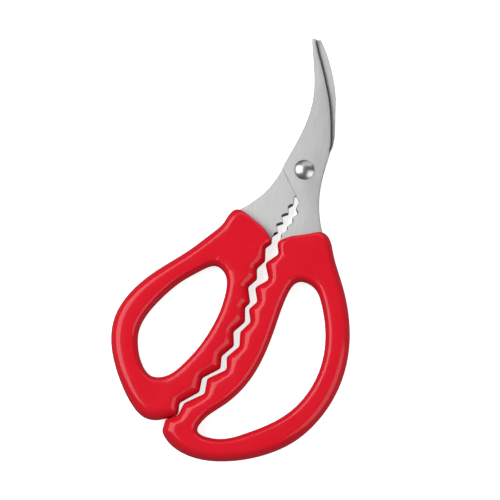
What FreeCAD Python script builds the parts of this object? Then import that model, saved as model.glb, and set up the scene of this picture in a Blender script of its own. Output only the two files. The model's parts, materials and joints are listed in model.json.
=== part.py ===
import FreeCAD, Part
import os
import Sketcher
from math import acos, cos, sin

# Curved seafood and kitchen shears, lying flat on their moulded handles.
# +Z is the pivot axis and the side with the domed rivet head, +Y runs from the handles to the tips.
# Plan points are (x, y) in millimetres from the pivot, seen from +Z with the shears closed.

DIMENSIONS = {
    "pivot_x": -8.08,
    "pivot_y": 41.665,
    "handle_thick": 12.4,
    "edge_round": 2.1,
    "blade_thick": 2.6,
    "blade_gap": 0.1,
    "bevel_width": 1.5,
    "bevel_depth": 2.2,
    "shank_dia": 5.0,
    "bore_clear": 0.03,
    "head_dia": 9.2,
    "head_rim": 0.5,
    "head_dome": 1.5,
    "head_gap": 0.03,
    "washer_dia": 9.6,
    "washer_thick": 0.7,
    "tail_dia": 7.0,
    "tail_dome": 0.9,
    "lock_hole_dia": 3.0,
    "grip_wave_radius": 2.0,
    "stop_gap": 0.3,
    "tooth_radius": 0.5,
    "tang_radius": 1.2,
}

# How near the bevelled edge has to pass to its point, and the least that a pocket has to remove.
EDGE_TOLERANCE = 0.05
LEAST_CUT = 1.0

# Crests and troughs of the cracker edges, from the throat down to the stop between the loops.
BACK_GRIP_EDGE = [
    (2.6, -36.5), (1.3, -40.1), (3.8, -45.7), (2.4, -50.6), (4.5, -54.8), (2.9, -59.9), (6.8, -65.9),
    (6.1, -68.9), (8.9, -74.7), (6.7, -81.2), (9.6, -86.8), (7.2, -93.7), (9.1, -98.8), (4.1, -106.7),
    (5.7, -112.8), (0.4, -121.6),
]
FRONT_GRIP_EDGE = [
    (5.1, -35.4), (7.7, -39.9), (4.8, -46.4), (9.2, -52.4), (5.9, -58.5), (9.5, -63.8), (8.1, -68.7),
    (11.2, -73.5), (9.5, -79.8), (12.0, -85.8), (9.5, -92.8), (11.8, -97.9), (6.4, -105.8),
    (8.2, -112.3), (2.3, -120.6),
]
STOP_FACE = [(2.1, -126.6), (-1.7, -130.9)]

BACK_HANDLE_RIM = [
    (-4.0, -132.5), (-10.4, -135.0), (-16.9, -133.4), (-24.5, -128.7), (-33.5, -120.9),
    (-41.2, -111.1), (-45.0, -100.5), (-44.8, -91.1), (-41.9, -80.8), (-36.3, -69.5), (-29.0, -56.8),
    (-24.0, -46.0), (-21.4, -39.0), (-20.8, -33.6), (-19.2, -30.8), (-16.2, -30.3), (-7.5, -31.8),
    (-2.0, -33.4),
]
BACK_FINGER_HOLE = [
    (-13.0, -58.1), (-8.3, -60.7), (-5.0, -67.7), (-3.4, -76.3), (-3.2, -86.0), (-4.4, -96.1),
    (-6.9, -105.4), (-11.2, -113.6), (-17.0, -116.7), (-23.5, -113.9), (-28.6, -108.3),
    (-32.1, -101.0), (-32.4, -93.1), (-30.2, -83.4), (-25.7, -72.1), (-20.0, -63.1),
]
FRONT_HANDLE_RIM = [
    (-1.0, -135.3), (2.3, -138.8), (8.5, -140.8), (18.5, -140.3), (31.6, -135.0), (45.4, -124.5),
    (54.8, -112.5), (59.9, -99.0), (61.4, -84.3), (58.9, -68.7), (51.7, -53.0), (40.0, -38.3),
    (29.6, -27.5), (25.3, -22.8), (22.3, -21.6), (17.7, -24.1), (12.5, -28.1), (8.8, -30.9),
]
FRONT_FINGER_HOLE = [
    (25.6, -45.6), (21.5, -47.5), (20.3, -54.5), (22.3, -69.4), (24.1, -84.0), (23.6, -97.5),
    (18.4, -113.2), (13.4, -123.7), (13.5, -128.9), (19.4, -129.2), (33.6, -119.4), (46.0, -102.7),
    (50.1, -83.5), (46.8, -67.8), (35.7, -50.6),
]

# Blades: the front one cuts along its convex right side, the back one along its concave left side.
FRONT_SPINE = [
    (-25.9, 55.9), (-20.7, 47.6), (-15.9, 39.7), (-12.4, 32.1), (-10.2, 24.0), (-9.2, 13.0), (-9.4, -4.2),
]
FRONT_CUTTING_EDGE = [(6.0, 16.0), (2.3, 23.1), (-2.5, 31.2), (-8.0, 38.6), (-13.6, 45.2), (-24.2, 56.9)]
FRONT_RICASSO = [(20.9, -21.6), (15.7, -14.6), (11.4, -6.3), (8.3, 4.4), (6.0, 16.0)]
BACK_CUTTING_EDGE = [
    (-24.9, 56.1), (-19.0, 48.9), (-13.6, 41.2), (-9.7, 33.4), (-7.6, 25.5), (-7.4, 14.0),
]
BACK_SPINE = [
    (6.2, 15.8), (5.0, 20.0), (1.1, 28.1), (-4.1, 38.1), (-8.2, 43.9), (-13.1, 49.6), (-17.9, 54.3),
    (-22.3, 57.7),
]
BACK_RICASSO_RIGHT = [(1.6, -12.6), (6.6, -9.0), (8.3, -2.0), (7.2, 7.0), (6.2, 15.8)]
BACK_RICASSO_LEFT = [
    (-8.6, 12.4), (-9.0, 5.0), (-9.3, -4.2), (-10.4, -13.8), (-13.4, -22.4), (-17.6, -29.4),
]

# Edges of the throat from the crossing of the blades down to the handles: tips and gullets of the
# cracker teeth in turn.
FRONT_THROAT_EDGE = [
    (-9.4, -4.2), (5.0, -14.4), (5.2, -17.9), (6.9, -19.6), (5.7, -22.3), (6.7, -24.3),
    (5.5, -26.9), (6.1, -28.9), (4.9, -31.2), (5.6, -34.0),
]
BACK_THROAT_EDGE = [
    (2.2, -36.4), (1.4, -33.9), (2.8, -31.2), (0.9, -28.6), (2.9, -26.2), (1.0, -23.7), (3.0, -21.4),
    (1.7, -18.8), (2.9, -16.6), (1.6, -12.6),
]

# The tangs go on inside the plastic, narrower, with two holes that the plastic fills.
FRONT_HIDDEN_TANG = [
    (5.6, -34.0), (9.4, -37.6), (11.4, -46.0), (12.7, -60.0), (13.0, -78.0), (17.2, -78.0),
    (17.5, -60.0), (18.0, -46.0), (22.4, -30.0), (20.9, -21.6),
]
BACK_HIDDEN_TANG = [
    (-17.6, -29.4), (-17.0, -36.0), (-9.0, -52.0), (-5.0, -62.0), (-0.2, -78.0), (4.0, -76.5),
    (0.7, -60.0), (-0.2, -48.0), (-0.6, -38.6), (2.2, -36.4),
]
FRONT_LOCK_HOLES = [(14.7, -49.0), (15.1, -68.0)]
BACK_LOCK_HOLES = [(-4.8, -48.0), (-0.4, -67.0)]


def vector(point):
    return FreeCAD.Vector(point[0], point[1], 0)


def spline(points, start_tangent=None, end_tangent=None):
    # Smooth curve through the points; the end tangents are unit vectors.
    curve = Part.BSplineCurve()
    nodes = [vector(point) for point in points]
    if start_tangent is None:
        curve.interpolate(nodes)
    else:
        curve.interpolate(Points=nodes, InitialTangent=start_tangent, FinalTangent=end_tangent,
                          Scale=False)
    return [curve]


def closed_spline(points):
    curve = Part.BSplineCurve()
    curve.interpolate([vector(point) for point in points], PeriodicFlag=True)
    return [curve]


def straight(*points):
    nodes = [vector(point) for point in points]
    return [Part.LineSegment(a, b) for a, b in zip(nodes, nodes[1:])]


def rounded_path(points, radius):
    # Straight flanks with every inner corner rounded so that the arc touches the given crest or trough.
    nodes = [vector(point) for point in points]
    corners = [nodes[0]]
    for before, here, after in zip(nodes, nodes[1:], nodes[2:]):
        back, on = (before - here).normalize(), (after - here).normalize()
        half = acos(max(-1.0, min(1.0, back.dot(on)))) / 2
        outward = (back + on).normalize() * -1
        corners.append(here + outward * (radius * (1 / sin(half) - 1)))
    corners.append(nodes[-1])
    curves = []
    last = corners[0]
    for before, here, after in zip(corners, corners[1:], corners[2:]):
        back, on = (before - here).normalize(), (after - here).normalize()
        half = acos(max(-1.0, min(1.0, back.dot(on)))) / 2
        reach = radius * cos(half) / sin(half)
        centre = here + (back + on).normalize() * (radius / sin(half))
        first, second = here + back * reach, here + on * reach
        middle = centre + (here - centre).normalize() * radius
        curves.append(Part.LineSegment(last, first))
        curves.append(Part.Arc(first, middle, second))
        last = second
    curves.append(Part.LineSegment(last, corners[-1]))
    return curves


def stop_points(side):
    # The two loops meet on one slanting face: each handle keeps half of the gap on its own side.
    top, bottom = vector(STOP_FACE[0]), vector(STOP_FACE[1])
    along = (bottom - top).normalize()
    normal = FreeCAD.Vector(-along.y, along.x, 0)
    shift = normal * (side * dims.stop_gap / 2)
    return [((point + shift).x, (point + shift).y) for point in (top, bottom)]


def handle_profile(grip_edge, rim, side):
    stop_top, stop_end = stop_points(side)
    grip = rounded_path([rim[-1]] + grip_edge + [stop_top, stop_end, rim[0]],
                        dims.grip_wave_radius)
    first, last = grip[0], grip[-1]
    rim_curve = spline(
        rim,
        (last.EndPoint - last.StartPoint).normalize(),
        (first.EndPoint - first.StartPoint).normalize(),
    )
    return grip + rim_curve


def front_blade_profile():
    toothed_edge = rounded_path(FRONT_THROAT_EDGE, dims.tooth_radius)
    hidden_tang = rounded_path(FRONT_HIDDEN_TANG, dims.tang_radius)
    return (
        spline(FRONT_SPINE)
        + toothed_edge
        + hidden_tang
        + spline(FRONT_RICASSO)
        + spline(FRONT_CUTTING_EDGE)
        + straight(FRONT_CUTTING_EDGE[-1], FRONT_SPINE[0])
    )


def back_blade_profile():
    toothed_edge = rounded_path(BACK_THROAT_EDGE, dims.tooth_radius)
    hidden_tang = rounded_path(BACK_HIDDEN_TANG, dims.tang_radius)
    return (
        spline(BACK_CUTTING_EDGE)
        + straight(BACK_CUTTING_EDGE[-1], BACK_RICASSO_LEFT[0])
        + spline(BACK_RICASSO_LEFT)
        + hidden_tang
        + toothed_edge
        + spline(BACK_RICASSO_RIGHT)
        + spline(BACK_SPINE)
        + straight(BACK_SPINE[-1], BACK_CUTTING_EDGE[0])
    )


doc = FreeCAD.newDocument("CurvedShears")

dims = doc.addObject("Spreadsheet::Sheet", "dims")
for row, (name, value) in enumerate(DIMENSIONS.items(), start=1):
    dims.set("A%d" % row, name)
    dims.set("B%d" % row, str(value))
    dims.setAlias("B%d" % row, name)
doc.recompute()


def new_body(label):
    body = doc.addObject("PartDesign::Body", label)
    body.Label = label
    body.setExpression("Placement.Base.x", "dims.pivot_x")
    body.setExpression("Placement.Base.y", "dims.pivot_y")
    body.setExpression("Placement.Base.z", "dims.handle_thick / 2")
    return body


def new_sketch(body, name, role="XY_Plane", height=None):
    sketch = body.newObject("Sketcher::SketchObject", name)
    plane = next(item for item in body.Origin.OriginFeatures if item.Role == role)
    sketch.AttachmentSupport = [(plane, "")]
    sketch.MapMode = "FlatFace"
    if height:
        sketch.setExpression("AttachmentOffset.Base.z", height)
    return sketch


def draw(sketch, curves):
    # Free-form outlines are fixed where they are drawn.
    for curve in curves:
        index = sketch.addGeometry(curve, False)
        sketch.addConstraint(Sketcher.Constraint("Block", index))


def draw_circle(sketch, centre, name, diameter):
    index = sketch.addGeometry(Part.Circle(vector(centre), FreeCAD.Vector(0, 0, 1), 1.0), False)
    if centre == (0, 0):
        sketch.addConstraint(Sketcher.Constraint("Coincident", index, 3, -1, 1))
    else:
        sketch.addConstraint(Sketcher.Constraint("DistanceX", -1, 1, index, 3, centre[0]))
        sketch.addConstraint(Sketcher.Constraint("DistanceY", -1, 1, index, 3, centre[1]))
    size = sketch.addConstraint(Sketcher.Constraint("Diameter", index, 2.0))
    sketch.renameConstraint(size, name)
    sketch.setExpression("Constraints." + name, diameter)


def pad(body, name, sketch, length):
    feature = body.newObject("PartDesign::Pad", name)
    feature.Profile = sketch
    feature.setExpression("Length", length)
    doc.recompute()
    return feature


def pocket(body, name, sketch, length):
    before = body.Shape.Volume
    feature = body.newObject("PartDesign::Pocket", name)
    feature.Profile = sketch
    feature.setExpression("Length", length)
    feature.Reversed = True
    doc.recompute()
    if body.Shape.Volume > before - LEAST_CUT:
        raise RuntimeError(name + " cut nothing")
    return feature


def flat_faces(shape):
    # The two broad faces of a plate, as sub-element names.
    names = []
    for number, face in enumerate(shape.Faces, start=1):
        level = isinstance(face.Surface, Part.Plane) and abs(face.Surface.Axis.z) > 0.99
        if level:
            names.append("Face%d" % number)
    return names


def make_handle(label, profile, hole, tang, lock_holes, tang_height):
    body = new_body(label)
    outline = new_sketch(body, label + "_outline", height="-dims.handle_thick / 2")
    draw(outline, profile)
    draw(outline, closed_spline(hole))
    block = pad(body, label + "_block", outline, "dims.handle_thick")

    rounding = body.newObject("PartDesign::Fillet", label + "_rounding")
    rounding.Base = (block, flat_faces(block.Shape))
    rounding.setExpression("Radius", "dims.edge_round")
    doc.recompute()

    cavity = new_sketch(body, label + "_tang_cavity", height=tang_height)
    draw(cavity, tang)
    for number, centre in enumerate(lock_holes, start=1):
        draw_circle(cavity, centre, "lock_pin_%d" % number, "dims.lock_hole_dia")
    pocket(body, label + "_tang_slot", cavity, "dims.blade_thick")
    return body


def make_blade(label, profile, lock_holes, height, cutting_point, outer_height):
    body = new_body(label)
    outline = new_sketch(body, label + "_outline", height=height)
    draw(outline, profile)
    for number, centre in enumerate(lock_holes, start=1):
        draw_circle(outline, centre, "lock_hole_%d" % number, "dims.lock_hole_dia")
    draw_circle(outline, (0, 0), "pivot_bore", "dims.shank_dia + 2 * dims.bore_clear")
    plate = pad(body, label + "_plate", outline, "dims.blade_thick")

    target = FreeCAD.Vector(cutting_point[0], cutting_point[1], outer_height)
    distances = [(edge.distToShape(Part.Vertex(target))[0], number)
                 for number, edge in enumerate(plate.Shape.Edges, start=1)]
    gap, number = min(distances)
    if gap > EDGE_TOLERANCE:
        raise RuntimeError(label + " has no cutting edge to grind")
    before = body.Shape.Volume
    bevel = body.newObject("PartDesign::Chamfer", label + "_ground_bevel")
    bevel.Base = (plate, ["Edge%d" % number])
    bevel.ChamferType = "Two distances"
    bevel.setExpression("Size", "dims.bevel_width")
    bevel.setExpression("Size2", "dims.bevel_depth")
    doc.recompute()
    print(label, "bevel removes", round(before - body.Shape.Volume, 2), "mm3")
    return body


def dome(radius, edge, rise):
    # Arc from the rim of a domed end to its crown on the axis.
    ball = (radius ** 2 + rise ** 2) / (2 * abs(rise))
    side = 1 if rise > 0 else -1
    lift = side * ball
    half = acos((ball - abs(rise)) / ball) / 2
    middle = (ball * sin(half), edge + rise - lift + side * ball * cos(half))
    return Part.Arc(vector((radius, edge)), vector(middle), vector((0, edge + rise)))


def make_turned(label, curves):
    # A turned piece: half profile as (radius, height) points and arcs, spun about the pivot axis.
    body = new_body(label)
    sketch = new_sketch(body, label + "_half_profile", role="XZ_Plane")
    draw(sketch, curves)
    feature = body.newObject("PartDesign::Revolution", label + "_turning")
    feature.Profile = sketch
    feature.ReferenceAxis = (sketch, ["V_Axis"])
    feature.Angle = 360
    doc.recompute()
    return body


half_gap = dims.blade_gap / 2
outer = half_gap + dims.blade_thick
shank = dims.shank_dia / 2
head = dims.head_dia / 2
tail = dims.tail_dia / 2
head_bottom = outer + dims.head_gap
head_edge = head_bottom + dims.head_rim
tail_top = -outer - dims.washer_thick

front_blade = make_blade(
    "front_blade", front_blade_profile(), FRONT_LOCK_HOLES, "dims.blade_gap / 2",
    FRONT_CUTTING_EDGE[3], outer,
)
back_blade = make_blade(
    "back_blade", back_blade_profile(), BACK_LOCK_HOLES, "-dims.blade_gap / 2 - dims.blade_thick",
    BACK_CUTTING_EDGE[3], -outer,
)

front_handle = make_handle(
    "front_handle", handle_profile(FRONT_GRIP_EDGE, FRONT_HANDLE_RIM, 1), FRONT_FINGER_HOLE,
    front_blade_profile(), FRONT_LOCK_HOLES, "dims.blade_gap / 2",
)
back_handle = make_handle(
    "back_handle", handle_profile(BACK_GRIP_EDGE, BACK_HANDLE_RIM, -1), BACK_FINGER_HOLE,
    back_blade_profile(), BACK_LOCK_HOLES, "-dims.blade_gap / 2 - dims.blade_thick",
)

rivet_profile = (
    [dome(head, head_edge, dims.head_dome)]
    + straight((0, head_edge + dims.head_dome), (0, tail_top - dims.tail_dome))
    + [dome(tail, tail_top, -dims.tail_dome)]
    + straight((tail, tail_top), (shank, tail_top), (shank, head_bottom), (head, head_bottom),
               (head, head_edge))
)
pivot_rivet = make_turned("pivot_rivet", rivet_profile)

washer_inner = shank + dims.bore_clear
washer_outer = dims.washer_dia / 2
washer_profile = straight(
    (washer_inner, -outer), (washer_outer, -outer), (washer_outer, tail_top), (washer_inner, tail_top),
    (washer_inner, -outer),
)
tail_washer = make_turned("tail_washer", washer_profile)

doc.recompute()
for item in doc.Objects:
    if "Invalid" in item.State or "Error" in item.State:
        raise RuntimeError(item.Name + " did not recompute: " + ", ".join(item.State))

os.makedirs("parts", exist_ok=True)
for body in (front_blade, back_blade, front_handle, back_handle, pivot_rivet, tail_washer):
    shape = body.Shape
    if shape.isNull() or not shape.isValid():
        raise RuntimeError(body.Label + " has no valid shape")
    box = shape.BoundBox
    print(body.Label, "solids", len(shape.Solids), "volume", round(shape.Volume, 1),
          "x", round(box.XMin, 2), round(box.XMax, 2), "y", round(box.YMin, 2), round(box.YMax, 2),
          "z", round(box.ZMin, 2), round(box.ZMax, 2))
    shape.exportStep("parts/" + body.Label + ".step")
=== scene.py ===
import json
import math
import bpy
import bmesh
import numpy as np
from mathutils import Matrix, Vector
from mathutils.geometry import delaunay_2d_cdt

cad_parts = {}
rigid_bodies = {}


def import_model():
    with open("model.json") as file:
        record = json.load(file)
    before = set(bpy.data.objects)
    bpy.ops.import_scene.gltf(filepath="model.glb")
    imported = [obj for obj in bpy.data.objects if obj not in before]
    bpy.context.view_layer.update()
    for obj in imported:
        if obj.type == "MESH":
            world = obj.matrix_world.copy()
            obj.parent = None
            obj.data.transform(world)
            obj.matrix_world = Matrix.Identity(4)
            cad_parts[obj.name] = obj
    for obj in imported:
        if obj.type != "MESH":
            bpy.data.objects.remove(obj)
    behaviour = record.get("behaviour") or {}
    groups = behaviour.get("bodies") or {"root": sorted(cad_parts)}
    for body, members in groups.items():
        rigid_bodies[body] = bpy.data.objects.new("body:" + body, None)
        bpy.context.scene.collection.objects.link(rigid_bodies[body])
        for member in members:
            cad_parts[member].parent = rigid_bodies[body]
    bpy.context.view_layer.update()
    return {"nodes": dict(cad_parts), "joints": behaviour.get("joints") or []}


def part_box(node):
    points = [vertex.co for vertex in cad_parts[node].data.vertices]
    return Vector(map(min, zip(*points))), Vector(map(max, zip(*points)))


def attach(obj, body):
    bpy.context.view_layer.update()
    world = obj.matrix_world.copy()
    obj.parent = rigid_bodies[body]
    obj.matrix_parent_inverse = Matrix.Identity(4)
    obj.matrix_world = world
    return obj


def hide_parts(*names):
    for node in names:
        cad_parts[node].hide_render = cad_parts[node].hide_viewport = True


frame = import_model()
mm = 0.001
hinge = frame["joints"][0]
pivot = Vector(hinge["pos_m"])   # on the rivet's axis, between the two blades
fixedBody, turningBody = hinge["parent"], hinge["child"]
print("frame loaded, hinge at", [round(c / mm, 2) for c in pivot], "mm")


# camera, floor and lights; right and up are the main view's own directions along the floor
# width and aim are in millimetres, aim from the pivot; the camera tilts by a few degrees along lean
view = {"lens": 200, "sensor": 36, "width": 230, "tilt": 8, "aim": (-4.7, -44.3),
        "right": (0.8805, 0.4741, 0), "up": (-0.4741, 0.8805, 0), "lean": (0.35, -0.94),
        "farthest": 10}
right, up, overhead = Vector(view["right"]), Vector(view["up"]), Vector((0, 0, 1))
aim = pivot + Vector((*view["aim"], 0)) * mm

# where each soft light hangs (right, up, height), its size and distance in metres, and its power
softLights = {
    "keyLeft": {"at": (-0.62, 0.20, 0.78), "size": (0.9, 0.9), "away": 1.0, "power": 11},
    "fillRight": {"at": (0.76, -0.40, 0.50), "size": (1.2, 0.9), "away": 1.1, "power": 7},
    "rimTop": {"at": (0.30, 0.78, 0.52), "size": (1.4, 0.7), "away": 1.1, "power": 3.5},
}
# reach and drop are in metres: half the sheet's side, and how far it lies under the object
floorLook = {"colour": (0.93, 0.93, 0.925, 1), "roughness": 0.9, "shine": 0.1, "glow": 0.82,
             "bounce": (0.16, 0.16, 0.16, 1), "reach": 2.0, "drop": 0.0003,
             "skyColour": (0.95, 0.97, 1, 1), "sky": 0.15}


def aimAt(thing, place, target):
    # puts a camera or light at a place, looking at the target with the view's up upwards
    forward = (target - place).normalized()
    side = forward.cross(up).normalized()
    turn = Matrix((side, side.cross(forward), -forward)).transposed().to_4x4()
    thing.matrix_world = Matrix.Translation(place) @ turn


def makeCamera():
    data = bpy.data.cameras.new("viewCamera")
    data.lens, data.sensor_width = view["lens"], view["sensor"]
    data.clip_end = view["farthest"]
    camera = bpy.data.objects.new("viewCamera", data)
    bpy.context.collection.objects.link(camera)
    away = view["width"] * mm * view["lens"] / view["sensor"]
    tilt = math.radians(view["tilt"])
    lean = right * view["lean"][0] + up * view["lean"][1]
    aimAt(camera, aim + (lean.normalized() * math.sin(tilt) + overhead * math.cos(tilt)) * away, aim)
    bpy.context.scene.camera = camera


def makeLights():
    for name, look in softLights.items():
        data = bpy.data.lights.new(name, "AREA")
        data.shape, data.energy = "RECTANGLE", look["power"]
        data.size, data.size_y = look["size"]
        lamp = bpy.data.objects.new(name, data)
        bpy.context.collection.objects.link(lamp)
        across, along, height = look["at"]
        aimAt(lamp, aim + (right * across + up * along + overhead * height) * look["away"], aim)
    world = bpy.data.worlds.new("studio")
    bpy.context.scene.world = world
    world.use_nodes = True
    sky = world.node_tree.nodes["Background"]
    sky.inputs["Color"].default_value = floorLook["skyColour"]
    sky.inputs["Strength"].default_value = floorLook["sky"]


def makeFloor():
    mesh = bpy.data.meshes.new("paleFloor")
    reach = floorLook["reach"]
    corners = [(-reach, -reach, 0), (reach, -reach, 0), (reach, reach, 0), (-reach, reach, 0)]
    mesh.from_pydata(corners, [], [(0, 1, 2, 3)])
    floor = bpy.data.objects.new("paleFloor", mesh)
    bpy.context.collection.objects.link(floor)
    paint = bpy.data.materials.new("palePaper")
    paint.use_nodes = True
    tree = paint.node_tree
    shader = tree.nodes["Principled BSDF"]
    shader.inputs["Base Color"].default_value = floorLook["colour"]
    shader.inputs["Roughness"].default_value = floorLook["roughness"]
    shader.inputs["Specular IOR Level"].default_value = floorLook["shine"]
    shader.inputs["Emission Color"].default_value = floorLook["colour"]
    shader.inputs["Emission Strength"].default_value = floorLook["glow"]
    # seen directly it is the bright sheet; towards the object it gives back little light
    dim = tree.nodes.new("ShaderNodeBsdfDiffuse")
    dim.inputs["Color"].default_value = floorLook["bounce"]
    path = tree.nodes.new("ShaderNodeLightPath")
    choice = tree.nodes.new("ShaderNodeMixShader")
    tree.links.new(path.outputs["Is Camera Ray"], choice.inputs["Fac"])
    tree.links.new(dim.outputs["BSDF"], choice.inputs[1])
    tree.links.new(shader.outputs["BSDF"], choice.inputs[2])
    tree.links.new(choice.outputs["Shader"], tree.nodes["Material Output"].inputs["Surface"])
    mesh.materials.append(paint)
    floor.location.z = -floorLook["drop"]


bpy.context.scene.view_settings.view_transform = "Standard"
makeCamera()
makeLights()
makeFloor()
print("camera, lights and floor set")


# shader groups that several finishes share

def newGroup(name, inputs, outputs):
    tree = bpy.data.node_groups.new(name, "ShaderNodeTree")
    for label, kind, value in inputs:
        socket = tree.interface.new_socket(label, in_out="INPUT", socket_type="NodeSocket" + kind)
        if value is not None:
            socket.default_value = value
    for label, kind in outputs:
        tree.interface.new_socket(label, in_out="OUTPUT", socket_type="NodeSocket" + kind)
    return tree, tree.nodes.new("NodeGroupInput"), tree.nodes.new("NodeGroupOutput")


def addNode(tree, kind, settings=None, **inputs):
    # a node with its properties, and its inputs set or linked by name (underscores stand for spaces)
    node = tree.nodes.new("ShaderNode" + kind)
    for key, value in (settings or {}).items():
        setattr(node, key, value)
    for key, value in inputs.items():
        socket = node.inputs[int(key[1:])] if key[1:].isdigit() else node.inputs[key.replace("_", " ")]
        if isinstance(value, bpy.types.NodeSocket):
            tree.links.new(value, socket)
        else:
            socket.default_value = value
    return node


def makeHandledGroup():
    # slow drift and fine mottle left by moulding, polishing and hands
    tree, given, result = newGroup(
        "handledSurface",
        [("Vector", "Vector", None), ("Colour", "Color", (0.5, 0.5, 0.5, 1)),
         ("Worn Colour", "Color", (0.6, 0.6, 0.6, 1)), ("Patch Scale", "Float", 60.0),
         ("Colour Drift", "Float", 0.3), ("Smooth", "Float", 0.2), ("Dull", "Float", 0.3)],
        [("Colour", "Color"), ("Roughness", "Float"), ("Mottle", "Float")])
    fineScale = addNode(tree, "Math", {"operation": "MULTIPLY"}, _0=given.outputs["Patch Scale"], _1=11.0)
    slow = addNode(tree, "TexNoise", Vector=given.outputs["Vector"], Scale=given.outputs["Patch Scale"],
                   Detail=3.0, Roughness=0.55)
    fine = addNode(tree, "TexNoise", Vector=given.outputs["Vector"], Scale=fineScale.outputs[0],
                   Detail=4.0, Roughness=0.6)
    both = addNode(tree, "Mix", {"data_type": "FLOAT"}, Factor=0.35, A=slow.outputs["Fac"],
                   B=fine.outputs["Fac"])
    share = addNode(tree, "MapRange", Value=both.outputs["Result"], From_Min=0.32, From_Max=0.68)
    drift = addNode(tree, "Math", {"operation": "MULTIPLY"}, _0=share.outputs["Result"],
                    _1=given.outputs["Colour Drift"])
    colour = addNode(tree, "Mix", {"data_type": "RGBA"}, _0=drift.outputs[0],
                     _6=given.outputs["Colour"], _7=given.outputs["Worn Colour"])
    rough = addNode(tree, "MapRange", Value=share.outputs["Result"], To_Min=given.outputs["Smooth"],
                    To_Max=given.outputs["Dull"])
    tree.links.new(colour.outputs[2], result.inputs["Colour"])
    tree.links.new(rough.outputs["Result"], result.inputs["Roughness"])
    tree.links.new(both.outputs["Result"], result.inputs["Mottle"])
    return tree


def makeGrainGroup():
    # fine lines that a belt, stone or cutter leaves, long in Y and close together in X
    tree, given, result = newGroup(
        "toolGrain",
        [("Vector", "Vector", None), ("Lines", "Float", 4000.0), ("Length", "Float", 60.0),
         ("Depth", "Float", 1.0)],
        [("Height", "Float"), ("Streaks", "Float")])
    stretch = addNode(tree, "CombineXYZ", X=given.outputs["Lines"], Y=given.outputs["Length"],
                      Z=given.outputs["Length"])
    placed = addNode(tree, "VectorMath", {"operation": "MULTIPLY"}, _0=given.outputs["Vector"],
                     _1=stretch.outputs[0])
    lines = addNode(tree, "TexNoise", Vector=placed.outputs[0], Scale=1.0, Detail=5.0, Roughness=0.7)
    broad = addNode(tree, "VectorMath", {"operation": "SCALE"}, _0=placed.outputs[0], Scale=0.12)
    bands = addNode(tree, "TexNoise", Vector=broad.outputs[0], Scale=1.0, Detail=2.0)
    height = addNode(tree, "Math", {"operation": "MULTIPLY"}, _0=lines.outputs["Fac"],
                     _1=given.outputs["Depth"])
    tree.links.new(height.outputs[0], result.inputs["Height"])
    tree.links.new(bands.outputs["Fac"], result.inputs["Streaks"])
    return tree


handledSurface = makeHandledGroup()
toolGrain = makeGrainGroup()


def newFinish(name):
    material = bpy.data.materials.new(name)
    material.use_nodes = True
    tree = material.node_tree
    return material, tree, tree.nodes["Principled BSDF"], addNode(tree, "TexCoord").outputs["Object"]


def placeGroup(tree, group, **inputs):
    node = tree.nodes.new("ShaderNodeGroup")
    node.node_tree = group
    for key, value in inputs.items():
        socket = node.inputs[key.replace("_", " ")]
        if isinstance(value, bpy.types.NodeSocket):
            tree.links.new(value, socket)
        else:
            socket.default_value = value
    return node


redPlastic = {"colour": (0.61, 0.006, 0.017, 1), "wornColour": (0.71, 0.012, 0.028, 1), "drift": 0.4,
              "patchScale": 45, "smooth": 0.12, "dull": 0.18, "peelScale": 900, "peel": 0.05,
              "peelHeight": 0.2, "ior": 1.46, "shine": 0.32}


def makePlastic(look):
    material, tree, shader, place = newFinish("glossRedPlastic")
    skin = placeGroup(tree, handledSurface, Vector=place, Colour=look["colour"],
                      Worn_Colour=look["wornColour"], Patch_Scale=look["patchScale"],
                      Colour_Drift=look["drift"], Smooth=look["smooth"], Dull=look["dull"])
    peel = addNode(tree, "TexNoise", Vector=place, Scale=look["peelScale"], Detail=2.0)
    bump = addNode(tree, "Bump", Strength=look["peel"], Distance=look["peelHeight"] * mm,
                   Height=peel.outputs["Fac"])
    tree.links.new(skin.outputs["Colour"], shader.inputs["Base Color"])
    tree.links.new(skin.outputs["Roughness"], shader.inputs["Roughness"])
    tree.links.new(bump.outputs["Normal"], shader.inputs["Normal"])
    shader.inputs["IOR"].default_value = look["ior"]
    shader.inputs["Specular IOR Level"].default_value = look["shine"]
    return material


# paintedRimDarkening is how much a blade's colour is darkened along its rim rings: painted shade for the
# rounded edges
satinSteel = {"colour": (0.49, 0.495, 0.49, 1), "wornColour": (0.56, 0.56, 0.555, 1), "drift": 0.5,
              "patchScale": 70, "smooth": 0.4, "dull": 0.47, "lines": 5200, "length": 90,
              "depth": 0.6, "turn": -18, "bite": 0.2, "streakDull": 0.12, "streakShade": 0.1,
              "paintedRimDarkening": 0.1, "grainHeight": 0.05}
# painted light: the back blade gets a lighter copy of the same satin steel with less rim shade,
# brightening it where the front blade shades it
paintedLightSatinSteel = {**satinSteel, "colour": (0.55, 0.555, 0.55, 1), "wornColour": (0.62, 0.62, 0.615, 1),
                  "paintedRimDarkening": 0.04}
# painted shade: the ground bevel and tooth flanks take a darker copy of the steel, standing in for the
# dark surroundings their tilted faces reflect; the smoother finish is real
shadedGroundSteel = {**satinSteel, "colour": (0.28, 0.28, 0.285, 1), "wornColour": (0.38, 0.38, 0.38, 1),
               "patchScale": 120, "smooth": 0.16, "dull": 0.26, "lines": 300, "length": 6500,
               "depth": 0.5, "turn": -40, "bite": 0.15, "paintedRimDarkening": 0}


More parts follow.
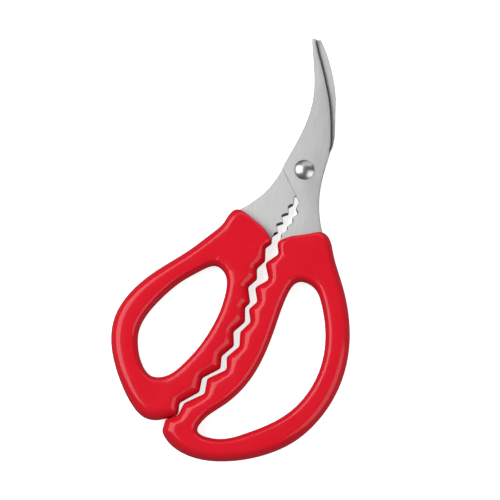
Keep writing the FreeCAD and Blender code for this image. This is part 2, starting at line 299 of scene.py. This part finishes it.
def makeSteel(name, look):
    material, tree, shader, place = newFinish(name)
    paintedRimShadeMask = addNode(tree, "Attribute", {"attribute_name": "paintedRimShadeMask"}).outputs["Fac"]
    skin = placeGroup(tree, handledSurface, Vector=place, Colour=look["colour"],
                      Worn_Colour=look["wornColour"], Patch_Scale=look["patchScale"],
                      Colour_Drift=look["drift"], Smooth=look["smooth"], Dull=look["dull"])
    turned = addNode(tree, "Mapping", Vector=place, Rotation=(0, 0, math.radians(look["turn"])))
    grain = placeGroup(tree, toolGrain, Vector=turned.outputs[0], Lines=look["lines"],
                       Length=look["length"], Depth=look["depth"])
    rough = addNode(tree, "Math", {"operation": "MULTIPLY_ADD"}, _0=grain.outputs["Streaks"],
                    _1=look["streakDull"], _2=skin.outputs["Roughness"])
    bump = addNode(tree, "Bump", Strength=look["bite"], Distance=look["grainHeight"] * mm,
                   Height=grain.outputs["Height"])
    streaked = addNode(tree, "MapRange", Value=grain.outputs["Height"], From_Min=0.3 * look["depth"],
                       From_Max=0.7 * look["depth"], To_Min=1 - look["streakShade"],
                       To_Max=1 + look["streakShade"])
    # painted shade: the rim rings are darkened by paintedRimDarkening, standing in for the shade of the
    # rounded edges; the grain streaks are the steel's own
    streakAndRimShade = addNode(tree, "Math", {"operation": "MULTIPLY_ADD"}, _0=paintedRimShadeMask, _1=-look["paintedRimDarkening"],
                     _2=streaked.outputs["Result"])
    shaded = addNode(tree, "VectorMath", {"operation": "SCALE"}, _0=skin.outputs["Colour"],
                     Scale=streakAndRimShade.outputs[0])
    tree.links.new(shaded.outputs[0], shader.inputs["Base Color"])
    tree.links.new(rough.outputs[0], shader.inputs["Roughness"])
    tree.links.new(bump.outputs["Normal"], shader.inputs["Normal"])
    shader.inputs["Metallic"].default_value = 1
    return material


polishedSteel = {"colour": (0.46, 0.46, 0.455, 1), "wornColour": (0.36, 0.36, 0.36, 1), "drift": 0.5,
                 "patchScale": 240, "smooth": 0.27, "dull": 0.37, "rings": 9000, "depth": 0.5,
                 "bite": 0.08, "grainHeight": 0.04}


def makeTurnedSteel(look):
    # polished, with the faint rings that the forming tool leaves round the axis
    material, tree, shader, place = newFinish("polishedRivetSteel")
    skin = placeGroup(tree, handledSurface, Vector=place, Colour=look["colour"],
                      Worn_Colour=look["wornColour"], Patch_Scale=look["patchScale"],
                      Colour_Drift=look["drift"], Smooth=look["smooth"], Dull=look["dull"])
    centred = addNode(tree, "Mapping", Vector=place, Location=(-pivot.x, -pivot.y, 0))
    flat = addNode(tree, "VectorMath", {"operation": "MULTIPLY"}, _0=centred.outputs[0],
                   _1=(1, 1, 0))
    radius = addNode(tree, "VectorMath", {"operation": "LENGTH"}, _0=flat.outputs[0])
    line = addNode(tree, "CombineXYZ", X=radius.outputs["Value"])
    grain = placeGroup(tree, toolGrain, Vector=line.outputs[0], Lines=look["rings"], Length=0,
                       Depth=look["depth"])
    bump = addNode(tree, "Bump", Strength=look["bite"], Distance=look["grainHeight"] * mm,
                   Height=grain.outputs["Height"])
    tree.links.new(skin.outputs["Colour"], shader.inputs["Base Color"])
    tree.links.new(skin.outputs["Roughness"], shader.inputs["Roughness"])
    tree.links.new(bump.outputs["Normal"], shader.inputs["Normal"])
    shader.inputs["Metallic"].default_value = 1
    return material


glossRed = makePlastic(redPlastic)
satin = makeSteel("satinBladeSteel", satinSteel)
# the back blade's lighter copy of the steel is painted light
paintedLightSatin = makeSteel("satinBladeSteelPaintedLight", paintedLightSatinSteel)
shadedGroundEdge = makeSteel("groundEdgeSteelPaintedShade", shadedGroundSteel)
polished = makeTurnedSteel(polishedSteel)
print("finishes made")


# outlines read off the fixed frame

def loopLength(ring):
    return float(np.linalg.norm(np.roll(ring, -1, 0) - ring, axis=1).sum())


def cutLoops(node, height):
    # closed outlines of a CAD node at one height, longest first, all anticlockwise;
    # the few stray points that a cut leaves at a corner are no outline
    bm = bmesh.new()
    bm.from_mesh(frame["nodes"][node].data)
    bmesh.ops.remove_doubles(bm, verts=bm.verts, dist=1e-7)
    bmesh.ops.bisect_plane(bm, geom=[*bm.verts, *bm.edges, *bm.faces], dist=1e-8,
                           plane_co=(0, 0, height), plane_no=(0, 0, 1),
                           clear_inner=True, clear_outer=True)
    bmesh.ops.remove_doubles(bm, verts=bm.verts, dist=2e-6)
    loops, left = [], set(bm.verts)
    for start in list(bm.verts):
        if start not in left:
            continue
        ring, here = [], start
        while here is not None:
            left.discard(here)
            ring.append(here.co[:2])
            nextOnes = [e.other_vert(here) for e in here.link_edges if e.other_vert(here) in left]
            here = nextOnes[0] if nextOnes else None
        if len(ring) > 5:
            loops.append(np.array(ring))
    bm.free()
    loops.sort(key=lambda ring: -loopLength(ring))
    return [ring if signedArea(ring) > 0 else ring[::-1] for ring in loops]


def signedArea(ring):
    after = np.roll(ring, -1, 0)
    return 0.5 * float((ring[:, 0] * after[:, 1] - ring[:, 1] * after[:, 0]).sum())


def evenRing(ring, count):
    # the same closed outline with evenly spaced points
    closed = np.vstack([ring, ring[:1]])
    steps = np.linalg.norm(np.diff(closed, axis=0), axis=1)
    progress = np.concatenate([[0], np.cumsum(steps)])
    places = np.linspace(0, progress[-1], count, endpoint=False)
    return np.stack([np.interp(places, progress, closed[:, k]) for k in (0, 1)], axis=1)


def smoothRing(values, reach, spacing):
    # running average round a closed loop; reach and spacing are lengths
    rows = values if values.ndim > 1 else values[:, None]
    frequency = np.fft.fftfreq(len(rows)) / spacing
    keep = np.exp(-2 * (math.pi * frequency * reach) ** 2)[:, None]
    soft = np.fft.ifft(np.fft.fft(rows, axis=0) * keep, axis=0).real
    return soft if values.ndim > 1 else soft[:, 0]


def inwardNormals(ring):
    # unit normals pointing into an anticlockwise outline
    along = np.roll(ring, -1, 0) - np.roll(ring, 1, 0)
    inward = np.stack([-along[:, 1], along[:, 0]], axis=1)
    return inward / np.linalg.norm(inward, axis=1)[:, None]


def meshFrom(name, verts, faces, materials, faceKinds=None):
    mesh = bpy.data.meshes.new(name)
    mesh.from_pydata([tuple(v) for v in verts], [], faces)
    for material in materials:
        mesh.materials.append(material)
    if faceKinds is not None:
        mesh.polygons.foreach_set("material_index", faceKinds)
    mesh.validate()
    piece = bpy.data.objects.new(name, mesh)
    bpy.context.collection.objects.link(piece)
    return piece


def finishPiece(piece, body, node, creaseAngle):
    mesh = piece.data
    bm = bmesh.new()
    bm.from_mesh(mesh)
    bmesh.ops.recalc_face_normals(bm, faces=bm.faces)
    bm.to_mesh(mesh)
    bm.free()
    mesh.shade_smooth()
    mesh.set_sharp_from_angle(angle=math.radians(creaseAngle))
    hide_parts(node)
    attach(piece, body)
    print(piece.name, len(mesh.polygons), "faces")


# moulded loop handles: ribs run from the outer edge over the crown to the finger hole and back below

# lengths in millimetres; the Blend values say how far a change is spread along the outline
handleLook = {"ribs": 880, "holeSteps": 2400, "outerRound": 3.9, "gripRound": 5.0, "holeRound": 2.7,
              "mouthRound": 1.1, "neckRound": 2.4, "outerShare": 0.62, "holeShare": 0.36,
              "waveCarry": 0.55, "squareness": 2.2, "crown": 0.95, "crownReach": 7.5,
              "neckCrown": 0.4, "partingLine": 0.07, "roundSteps": 11, "flatSteps": 5,
              "baseBlend": 4.2, "holeBlend": 0.5, "ribBlend": 5, "widthBlend": 3, "gripBlend": 4,
              "mouthBlend": 1.2, "neckBlend": 7, "shoulderBlend": 3, "waveBlend": 1.2,
              "brinkBlend": 2}
frontHandleLook = {"node": "front_handle", "blade": "front_blade", "body": turningBody, "cut": -1.2,
                   "gripFaces": 1}
backHandleLook = {"node": "back_handle", "blade": "back_blade", "body": fixedBody, "cut": 1.2,
                  "gripFaces": -1}


def outlineAlong(outline, origin, direction, forward=False):
    # how far along each line the outline is crossed nearest to the line's origin, or first ahead of it
    start, end = outline, np.roll(outline, -1, 0)
    edge = end - start
    found = np.zeros(len(origin))
    for k, (point, way) in enumerate(zip(origin, direction)):
        cross = way[0] * edge[:, 1] - way[1] * edge[:, 0]
        gap = start - point
        safe = np.where(np.abs(cross) < 1e-15, 1e-15, cross)
        reach = (gap[:, 0] * edge[:, 1] - gap[:, 1] * edge[:, 0]) / safe
        part = (gap[:, 0] * way[1] - gap[:, 1] * way[0]) / safe
        good = (part >= -1e-6) & (part <= 1 + 1e-6) & (np.abs(cross) > 1e-15)
        if forward:
            good &= reach > 0
        reach = np.where(good, reach, np.inf)
        found[k] = reach[int(np.argmin(np.abs(reach)))]
    return found


def insideOutline(outline, points):
    start, end = outline[None], np.roll(outline, -1, 0)[None]
    here = points[:, None]
    spans = (start[..., 1] > here[..., 1]) != (end[..., 1] > here[..., 1])
    rise = np.where(spans, end[..., 1] - start[..., 1], 1)
    across = start[..., 0] + (here[..., 1] - start[..., 1]) * (end[..., 0] - start[..., 0]) / rise
    return (spans & (across > here[..., 0])).sum(axis=1) % 2 == 1


def makeHandle(name, look):
    low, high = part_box(look["node"])
    middle, half = (low.z + high.z) / 2, (high.z - low.z) / 2
    outline, hole = cutLoops(look["node"], middle + look["cut"] * mm)[:2]
    count, holeSteps = handleLook["ribs"], handleLook["holeSteps"]
    spacing = loopLength(outline) / count

    def blended(values, key):
        return smoothRing(values, handleLook[key] * mm, spacing)

    base = evenRing(blended(evenRing(outline, count), "baseBlend"), count)
    inward = inwardNormals(base)
    wave = outlineAlong(outline, base, inward)
    edge = base + inward * wave[:, None]

    # each rib ends at the nearest place on the finger hole, in order round it
    fineHole = smoothRing(evenRing(hole, holeSteps), handleLook["holeBlend"] * mm,
                          loopLength(hole) / holeSteps)
    nearest = np.array([int(np.argmin(np.linalg.norm(fineHole - point, axis=1))) for point in base])
    steps = (np.diff(np.append(nearest, nearest[0])) + holeSteps // 2) % holeSteps - holeSteps // 2
    evenly = np.arange(count) * holeSteps / count
    wander = np.concatenate([[0], np.cumsum(steps)[:-1]]) - evenly
    onHole = (nearest[0] + blended(wander, "ribBlend") + evenly) % holeSteps

    def atRibs(values):
        closed = np.vstack([values, values[:1]])
        return np.stack([np.interp(onHole, np.arange(holeSteps + 1), closed[:, k]) for k in (0, 1)], 1)

    holeEdge, holeWay = atRibs(fineHole), atRibs(-inwardNormals(fineHole))
    width = blended(np.linalg.norm(holeEdge - base, axis=1), "widthBlend")
    grip = blended(np.clip(inward[:, 0] * look["gripFaces"] * 1.6, 0, 1), "gripBlend")
    bladeLow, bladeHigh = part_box(look["blade"])
    tang = cutLoops(look["blade"], (bladeLow.z + bladeHigh.z) / 2)[0]
    covered = insideOutline(tang, base).astype(float)
    mouth = blended(covered, "mouthBlend")
    neck = np.clip(3 * blended(covered, "neckBlend"), 0, 1)

    # the rounding of the outer edge, from the plain ring through the grip and the neck to the mouth
    outerRound = handleLook["outerRound"] + grip * (handleLook["gripRound"] - handleLook["outerRound"])
    outerRound = outerRound + neck * (handleLook["neckRound"] - outerRound)
    outerRound = outerRound + mouth * (handleLook["mouthRound"] - outerRound)
    outerRound = np.minimum(outerRound * mm, width * handleLook["outerShare"])
    holeRound = np.minimum(handleLook["holeRound"] * mm, width * handleLook["holeShare"])
    shoulder = blended(base + inward * outerRound[:, None], "shoulderBlend")
    shoulder += inward * (blended(wave, "waveBlend") * grip * handleLook["waveCarry"])[:, None]
    brink = blended(holeEdge + holeWay * holeRound[:, None], "brinkBlend")

    # one rib's upper half, from the outer edge to the shoulder, the brink and the hole: plan and height
    power = 2 / handleLook["squareness"]
    turn = np.linspace(0, math.pi / 2, handleLook["roundSteps"])
    riseOut, riseUp = 1 - np.cos(turn) ** power, np.sin(turn) ** power
    collarTurn = np.concatenate([[0], np.linspace(0, math.pi / 2, handleLook["roundSteps"] - 1)])
    collar = handleLook["mouthRound"] * mm / half
    collarUp = np.where(np.arange(len(turn)) > 0, 1 - collar + collar * np.sin(collarTurn), 0)
    rows = []
    for out, lift, straightOut, straightUp in zip(riseOut, riseUp, 1 - np.cos(collarTurn), collarUp):
        share = (out + mouth * (straightOut - out))[:, None]
        rows.append((edge + (shoulder - edge) * share, lift + mouth * (straightUp - lift)))
    for share in np.linspace(0, 1, handleLook["flatSteps"] + 2)[1:-1]:
        rows.append((shoulder + (brink - shoulder) * share, np.ones(count)))
    for out, lift in zip(riseOut[::-1], riseUp[::-1]):
        rows.append((holeEdge + (brink - holeEdge) * out, np.full(count, lift)))
    crown = handleLook["crown"] * mm * (1 + (handleLook["neckCrown"] - 1) * neck)
    columns = []
    crownReach = handleLook["crownReach"] * mm
    for plan, lift in rows:
        fromEdge = np.tanh(np.linalg.norm(plan - edge, axis=1) / crownReach)
        fromHole = np.tanh(np.linalg.norm(plan - holeEdge, axis=1) / crownReach)
        share = fromEdge / (fromEdge + fromHole)
        columns.append((plan, (half - crown * (2 * share - 1) ** 2) * lift))
    columns[0] = (edge - inward * handleLook["partingLine"] * mm, np.zeros(count))
    columns[-1] = (holeEdge, np.zeros(count))
    columns += [(plan, -height) for plan, height in columns[-2:0:-1]]
    around = len(columns)
    verts = np.zeros((count, around, 3))
    for j, (plan, height) in enumerate(columns):
        verts[:, j, :2] = plan
        verts[:, j, 2] = middle + height
    faces = []
    for i in range(count):
        for j in range(around):
            a, b = i * around, (i + 1) % count * around
            k = (j + 1) % around
            faces.append((a + j, b + j, b + k, a + k))
    piece = meshFrom(name, verts.reshape(-1, 3), faces, [glossRed])
    finishPiece(piece, look["body"], look["node"], 60)


makeHandle("frontHandle", frontHandleLook)
makeHandle("backHandle", backHandleLook)


# blades: one stamping each, rims broken all round and the cutting edge ground on the outer face

# millimetres; cutAway is how much of the outer face a ground edge loses, deepest the bevel's height
bladeLook = {"spacing": 0.35, "rim": 0.17, "roll": 1.3, "rollDrop": 0.05, "cutAway": 1.1, "taper": 1.2,
             "bevel": 0.85, "deepest": 1.2, "boreSteps": 72, "creaseAngle": 25, "cornerAngle": 32,
             "outerSteps": 6000, "innerCut": 0.05, "outerCut": 0.01, "flankBlend": 0.3}
# how much of the space beside a point its inset may take, and over what lengths that is evened out
roomLook = {"ofWidth": 0.4, "ofBend": 0.75, "sharpestBend": 20, "headStart": 0.1, "bendBlend": 0.25,
            "ringBlend": 0.4, "roomBlend": 0.4, "reach": 1.2, "rimShare": 0.4, "bevelShare": 0.75}
frontBladeLook = {"node": "front_blade", "body": turningBody, "outerSide": 1, "finish": satin,
                  "flankFacing": (-0.85, -0.53), "flankWidth": 0.35}
backBladeLook = {"node": "back_blade", "body": fixedBody, "outerSide": -1, "finish": paintedLightSatin,
                 "flankFacing": (0.77, -0.64), "flankWidth": 0.8}
throat = {"x": (0.5, 8.0), "y": (-33.0, -15.0)}   # where the cracker teeth are, from the pivot


def insetRing(ring, inset):
    # moves every point of an outline inwards by its own amount, along the mitre
    before, after = ring - np.roll(ring, 1, 0), np.roll(ring, -1, 0) - ring
    before /= np.linalg.norm(before, axis=1)[:, None]
    after /= np.linalg.norm(after, axis=1)[:, None]
    bisector = np.stack([-(before + after)[:, 1], (before + after)[:, 0]], axis=1)
    bisector /= np.maximum(np.linalg.norm(bisector, axis=1), 1e-9)[:, None]
    lean = np.maximum(0.5, bisector[:, 0] * -after[:, 1] + bisector[:, 1] * after[:, 0])
    return ring + bisector * (inset / lean)[:, None]


def roomInside(ring, spacing, holes):
    # how far each point can move inwards before it meets a neighbour, the far side or a hole
    along = np.roll(ring, -1, 0) - ring
    heading = np.unwrap(np.arctan2(along[:, 1], along[:, 0]))
    turn = (np.roll(heading, -1) - heading + math.pi) % (2 * math.pi) - math.pi
    bend = smoothRing(turn / spacing, roomLook["bendBlend"] * mm, spacing)
    room = roomLook["ofBend"] / np.maximum(bend, roomLook["sharpestBend"])
    inward = inwardNormals(smoothRing(ring, roomLook["ringBlend"] * mm, spacing))
    across = outlineAlong(ring, ring + inward * roomLook["headStart"] * mm, inward, forward=True)
    room = np.minimum(room, across * roomLook["ofWidth"])
    for hole in holes:
        gap = np.linalg.norm(ring[:, None, :] - hole[None, ::6, :], axis=2).min(axis=1)
        room = np.minimum(room, gap * roomLook["ofWidth"])
    reach = int(roomLook["reach"] * mm / spacing)
    near = np.stack([np.roll(room, k) for k in range(-reach, reach + 1)])
    return np.minimum(smoothRing(near.min(axis=0), roomLook["roomBlend"] * mm, spacing), room)


def markedRing(ring, spacing):
    # evenly spaced points that keep the outline's sharp corners
    before, after = ring - np.roll(ring, 1, 0), np.roll(ring, -1, 0) - ring
    angle = np.abs((np.arctan2(after[:, 1], after[:, 0]) - np.arctan2(before[:, 1], before[:, 0])
                    + math.pi) % (2 * math.pi) - math.pi)
    corners = np.flatnonzero(angle > math.radians(bladeLook["cornerAngle"]))
    ring = np.roll(ring, -corners[0], axis=0)
    corners = np.append(corners - corners[0], len(ring))
    closed = np.vstack([ring, ring[:1]])
    points = []
    for first, last in zip(corners[:-1], corners[1:]):
        stretch = closed[first:last + 1]
        steps = np.linalg.norm(np.diff(stretch, axis=0), axis=1)
        progress = np.concatenate([[0], np.cumsum(steps)])
        count = max(1, round(progress[-1] / spacing))
        places = np.linspace(0, progress[-1], count, endpoint=False)
        points.append(np.stack([np.interp(places, progress, stretch[:, k]) for k in (0, 1)], axis=1))
    return np.vstack(points)


def toothFlanks(ring, spacing, facing):
    # 1 in the middle of the tooth flanks that face one way, fading to 0 at tips and gullets
    here = (ring - np.array(pivot[:2])) / mm
    within = (here[:, 0] > throat["x"][0]) & (here[:, 0] < throat["x"][1])
    within &= (here[:, 1] > throat["y"][0]) & (here[:, 1] < throat["y"][1])
    agree = -inwardNormals(ring) @ np.array(facing)
    flank = np.clip((agree - 0.8) / 0.12, 0, 1) * within
    return smoothRing(flank, bladeLook["flankBlend"] * mm, spacing)


def fillPlate(rim, holes):
    # triangles of a flat face inside the rim and outside the holes
    points = [Vector(p) for p in rim]
    edges = [(k, (k + 1) % len(rim)) for k in range(len(rim))]
    for hole in holes:
        base = len(points)
        points += [Vector(p) for p in hole]
        edges += [(base + k, base + (k + 1) % len(hole)) for k in range(len(hole))]
    made = delaunay_2d_cdt(points, edges, [], 1, 1e-9)
    back = {new: olds[0] for new, olds in enumerate(made[3]) if olds}
    centres = [(np.mean(hole, axis=0), np.linalg.norm(hole[0] - np.mean(hole, axis=0))) for hole in holes]
    triangles = []
    for face in made[2]:
        middle = np.mean([made[0][v][:] for v in face], axis=0)
        if all(np.linalg.norm(middle - centre) > radius for centre, radius in centres):
            triangles.append(tuple(back[v] for v in face))
    return triangles


def makeBlade(name, look):
    low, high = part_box(look["node"])
    outer, inner = (high.z, low.z) if look["outerSide"] > 0 else (low.z, high.z)
    side = look["outerSide"]
    loops = cutLoops(look["node"], inner + side * bladeLook["innerCut"] * mm)
    outerLoop = cutLoops(look["node"], outer - side * bladeLook["outerCut"] * mm)[0]
    ring = markedRing(loops[0], bladeLook["spacing"] * mm)
    spacing = loopLength(ring) / len(ring)
    outerFine = evenRing(outerLoop, bladeLook["outerSteps"])
    bevel = np.array([np.linalg.norm(outerFine - point, axis=1).min() for point in ring])
    bevel = np.where(bevel > bladeLook["cutAway"] * mm, bladeLook["bevel"] * mm, 0)
    bevel = np.clip(2 * smoothRing(bevel, bladeLook["taper"] * mm, spacing) - bladeLook["bevel"] * mm,
                    0, None)
    boreSteps = bladeLook["boreSteps"]
    holes = [evenRing(loop, boreSteps) for loop in loops[1:]]
    room = roomInside(ring, spacing, holes)
    rim = np.minimum(bladeLook["rim"] * mm, room * roomLook["rimShare"])
    edgeInset = np.maximum(rim, np.minimum(bevel, room * roomLook["bevelShare"]))
    edgeDrop = np.maximum(rim, bladeLook["deepest"] * mm * edgeInset / (bladeLook["bevel"] * mm))
    rollInset = np.minimum(edgeInset + bladeLook["roll"] * mm, np.maximum(room, edgeInset + rim * 0.2))
    # the flanks are ground on the upper face of either blade
    flank = toothFlanks(ring, spacing, look["flankFacing"])
    ground = flank * look["flankWidth"] * mm
    shift = -ground[:, None] * np.array(look["flankFacing"])
    upperFlank, lowerFlank = (ground, ground * 0) if side > 0 else (ground * 0, ground)
    rings = [
        (insetRing(ring, rim) + shift * (side < 0), inner),
        (ring, inner + side * (rim + lowerFlank)),
        (ring, outer - side * (edgeDrop + upperFlank)),
        (insetRing(ring, edgeInset) + shift * (side > 0), outer - side * bladeLook["rollDrop"] * mm),
        (insetRing(ring, rollInset) + shift * (side > 0), outer),
    ]
    count = len(ring)
    verts, faces, kinds = [], [], []
    for plan, height in rings:
        verts += [(p[0], p[1], z) for p, z in zip(plan, np.broadcast_to(height, count))]
    for level in range(len(rings) - 1):
        for k in range(count):
            a, b = level * count + k, level * count + (k + 1) % count
            faces.append((a, b, b + count, a + count))
            # bevel and tooth-flank faces take the darkened ground finish, painted shade
            isBevel = level == 2 and (bevel[k] > 0.2 * mm or upperFlank[k] > 0.1 * mm)
            kinds.append(1 if isBevel or (level == 0 and lowerFlank[k] > 0.1 * mm) else 0)
    holeStart = len(verts)
    for hole in holes:
        verts += [(p[0], p[1], inner) for p in hole] + [(p[0], p[1], outer) for p in hole]
    starts = [holeStart + 2 * boreSteps * k for k in range(len(holes))]
    for start in starts:
        for k in range(boreSteps):
            a, b = start + k, start + (k + 1) % boreSteps
            faces.append((a, b, b + boreSteps, a + boreSteps))
            kinds.append(0)
    for level, past in ((0, 0), (len(rings) - 1, boreSteps)):
        names = [level * count + k for k in range(count)]
        for start in starts:
            names += [start + past + k for k in range(boreSteps)]
        for triangle in fillPlate(rings[level][0], holes):
            faces.append(tuple(names[v] for v in triangle))
            kinds.append(0)
    piece = meshFrom(name, verts, faces, [look["finish"], shadedGroundEdge], kinds)
    # painted shade mask: 1 on the rim rings, where the steel's colour is darkened to paint the shade of
    # the rounded edges
    paintedRimLayer = piece.data.attributes.new("paintedRimShadeMask", "FLOAT", "POINT")
    inRim = np.zeros(len(verts), dtype=np.float32)
    inRim[:count * (len(rings) - 1)] = 1
    paintedRimLayer.data.foreach_set("value", inRim)
    finishPiece(piece, look["body"], look["node"], bladeLook["creaseAngle"])


makeBlade("frontBlade", frontBladeLook)
makeBlade("backBlade", backBladeLook)


# rivet and washer: a drawn half profile turned about the hinge axis by one node tree

def makeTurningTree():
    tree = bpy.data.node_groups.new("turnedOnAxis", "GeometryNodeTree")
    tree.interface.new_socket("Geometry", in_out="INPUT", socket_type="NodeSocketGeometry")
    for label, kind, value in (("Steps Round", "NodeSocketInt", 96), ("Axis X", "NodeSocketFloat", 0.0),
                               ("Axis Y", "NodeSocketFloat", 0.0), ("Finish", "NodeSocketMaterial", None)):
        socket = tree.interface.new_socket(label, in_out="INPUT", socket_type=kind)
        if value is not None:
            socket.default_value = value
    tree.interface.new_socket("Geometry", in_out="OUTPUT", socket_type="NodeSocketGeometry")

    def node(kind, settings=None, **inputs):
        made = tree.nodes.new(kind)
        for key, value in (settings or {}).items():
            setattr(made, key, value)
        for key, value in inputs.items():
            socket = made.inputs[key.replace("_", " ")]
            if isinstance(value, bpy.types.NodeSocket):
                tree.links.new(value, socket)
            else:
                socket.default_value = value
        return made.outputs

    given = tree.nodes.new("NodeGroupInput").outputs
    profile = node("GeometryNodeMeshToCurve", Mesh=given["Geometry"])
    circle = node("GeometryNodeCurvePrimitiveCircle", Resolution=given["Steps Round"], Radius=1.0)
    swept = node("GeometryNodeCurveToMesh", Curve=circle["Curve"], Profile_Curve=profile["Curve"])
    merged = node("GeometryNodeMergeByDistance", Geometry=swept["Mesh"], Distance=2e-6)
    offset = node("ShaderNodeCombineXYZ", X=given["Axis X"], Y=given["Axis Y"])
    placed = node("GeometryNodeTransform", Geometry=merged["Geometry"], Translation=offset["Vector"])
    real = node("GeometryNodeRealizeInstances", Geometry=placed["Geometry"])
    painted = node("GeometryNodeSetMaterial", Geometry=real["Geometry"], Material=given["Finish"])
    output = tree.nodes.new("NodeGroupOutput")
    tree.links.new(painted["Geometry"], output.inputs["Geometry"])
    return tree


turnedOnAxis = makeTurningTree()


def makeTurned(name, node, body, profile, closed):
    # profile points are (radius, height); the sweep turns them upside down and adds its one metre
    mesh = bpy.data.meshes.new(name + "Profile")
    edges = [(k, k + 1) for k in range(len(profile) - 1)]
    if closed:
        edges.append((len(profile) - 1, 0))
    mesh.from_pydata([(radius - 1, -height, 0) for radius, height in profile], edges, [])
    source = bpy.data.objects.new(name + "Profile", mesh)
    bpy.context.collection.objects.link(source)
    modifier = source.modifiers.new("turning", "NODES")
    modifier.node_group = turnedOnAxis
    wanted = {"Steps Round": 96, "Axis X": pivot.x, "Axis Y": pivot.y, "Finish": polished}
    for socket in turnedOnAxis.interface.items_tree:
        if socket.in_out == "INPUT" and socket.name in wanted:
            modifier[socket.identifier] = wanted[socket.name]
    settled = source.evaluated_get(bpy.context.evaluated_depsgraph_get())
    solid = bpy.data.meshes.new_from_object(settled)
    solid.name = name
    source.modifiers.remove(modifier)
    bpy.data.objects.remove(source)
    piece = bpy.data.objects.new(name, solid)
    bpy.context.collection.objects.link(piece)
    box = [[f([v.co[k] for v in solid.vertices]) for k in range(3)] for f in (min, max)]
    print(name, "box mm", [[round(c / mm, 2) for c in corner] for corner in box])
    finishPiece(piece, body, node, 35)


# diameters of the rivet, then its head's straight rim and the small edges, all in millimetres
rivetLook = {"head": 9.2, "tail": 7.0, "shank": 5.0, "headRim": 0.35, "clearance": 0.03,
             "headEdge": 0.18, "seatEdge": 0.25, "domeEdge": 0.03, "tailEdge": 0.15,
             "washerEdge": 0.12, "headSteps": 18, "tailSteps": 12}


def arcPoints(centre, radius, start, end, steps):
    angles = np.radians(np.linspace(start, end, steps))
    return [(centre[0] + radius * math.cos(a), centre[1] + radius * math.sin(a)) for a in angles]


def domeProfile(radius, edge, rise, steps):
    # from the rim of a domed end to its crown on the axis
    ball = (radius ** 2 + rise ** 2) / (2 * abs(rise))
    sign = 1 if rise > 0 else -1
    half = math.asin(radius / ball)
    angles = np.linspace(half, 0, steps)
    return [(ball * math.sin(a), edge + rise - sign * ball * (1 - math.cos(a))) for a in angles]


def makeRivet():
    low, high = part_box("pivot_rivet")
    washerLow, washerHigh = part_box("tail_washer")
    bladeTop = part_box("front_blade")[1].z
    head, tail, shank = (rivetLook[key] * mm / 2 for key in ("head", "tail", "shank"))
    clearance, rim, headEdge, seatEdge, domeEdge, tailEdge, washerEdge = (
        rivetLook[key] * mm for key in ("clearance", "headRim", "headEdge", "seatEdge", "domeEdge",
                                        "tailEdge", "washerEdge"))
    seat = bladeTop + clearance
    rise = high.z - seat - rim
    profile = [(0, low.z)]
    tailDome = domeProfile(tail, washerLow.z, low.z - washerLow.z, rivetLook["tailSteps"])
    profile += tailDome[::-1][1:]
    profile += [(tail - tailEdge, washerLow.z), (shank, washerLow.z), (shank, seat)]
    profile += [(head - seatEdge, seat)]
    profile += arcPoints((head - headEdge, seat + headEdge), headEdge, -90, 30, 6)
    profile += domeProfile(head - domeEdge, seat + rim, rise, rivetLook["headSteps"])
    makeTurned("pivotRivet", "pivot_rivet", fixedBody, profile, False)
    outer, bore = (washerHigh.x - washerLow.x) / 2, shank + clearance
    washer = [(bore, washerLow.z), (outer - washerEdge, washerLow.z), (outer, washerLow.z + washerEdge),
              (outer, washerHigh.z - washerEdge), (outer - washerEdge, washerHigh.z),
              (bore, washerHigh.z)]
    makeTurned("tailWasher", "tail_washer", fixedBody, washer, True)


makeRivet()
